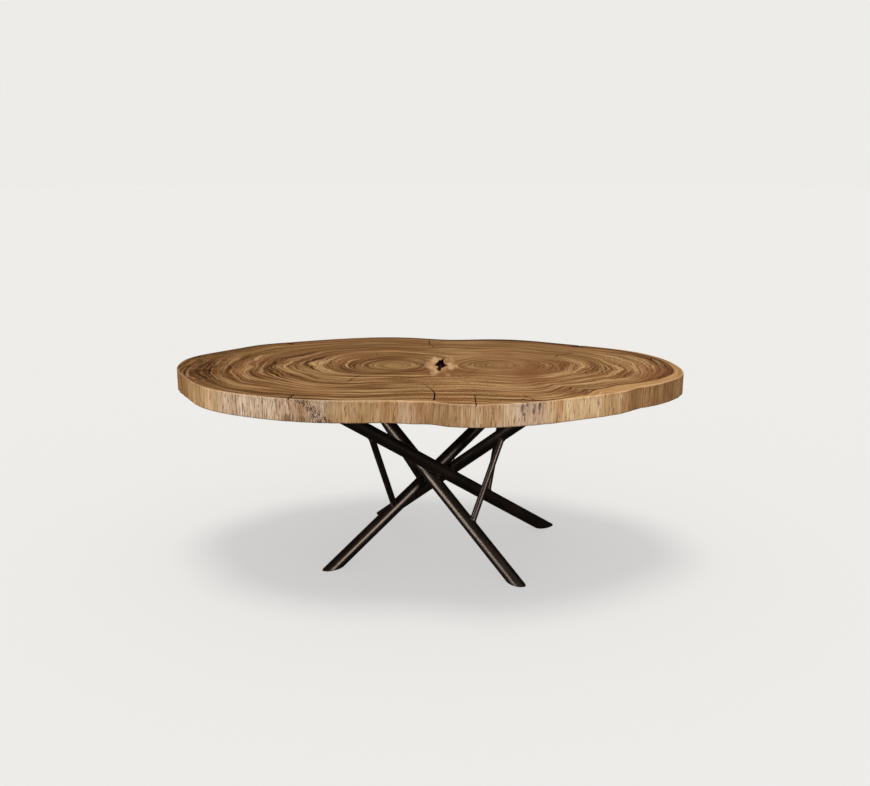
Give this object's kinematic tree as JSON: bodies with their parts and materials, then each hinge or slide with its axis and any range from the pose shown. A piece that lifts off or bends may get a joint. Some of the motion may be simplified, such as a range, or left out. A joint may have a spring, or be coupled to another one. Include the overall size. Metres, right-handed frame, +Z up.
{
  "type": "dining table",
  "caption": "Oval dining table: a live-edge slab cut across a forked trunk, standing on crossed round steel tubes tied by thin braces.",
  "frame": {"origin": "on the floor, under the middle of the slab's bounding box", "axes": "+X along the slab's length, to the right in the picture; +Y away from the picture's viewer; +Z up"},
  "size_m": [1.975, 1.25, 0.762],
  "materials": {
    "slab_wood": "cross-cut trunk slab with growth rings, satin oiled",
    "dark_steel": "very dark bronze, satin",
    "foot_rubber": "black, matte",
    "insert_brass": "turned brass",
    "bolt_steel": "blackened zinc"
  },
  "bodies": {
    "root": {"slab_top": "slab_wood", "leg_front_right": "dark_steel", "leg_front_left": "dark_steel", "leg_rear_right": "dark_steel", "leg_rear_left": "dark_steel", "brace_front_right": "dark_steel", "brace_front_left": "dark_steel", "brace_rear_right": "dark_steel", "brace_rear_left": "dark_steel", "top_plate_front_right": "dark_steel", "top_plate_front_left": "dark_steel", "top_plate_rear_right": "dark_steel", "top_plate_rear_left": "dark_steel", "foot_cap_front_right": "dark_steel", "foot_cap_front_left": "dark_steel", "foot_cap_rear_right": "dark_steel", "foot_cap_rear_left": "dark_steel", "foot_pad_front_right": "foot_rubber", "foot_pad_front_left": "foot_rubber", "foot_pad_rear_right": "foot_rubber", "foot_pad_rear_left": "foot_rubber", "threaded_inserts": "insert_brass", "plate_bolts": "bolt_steel", "plate_washers": "bolt_steel"}
  },
  "joints": []
}
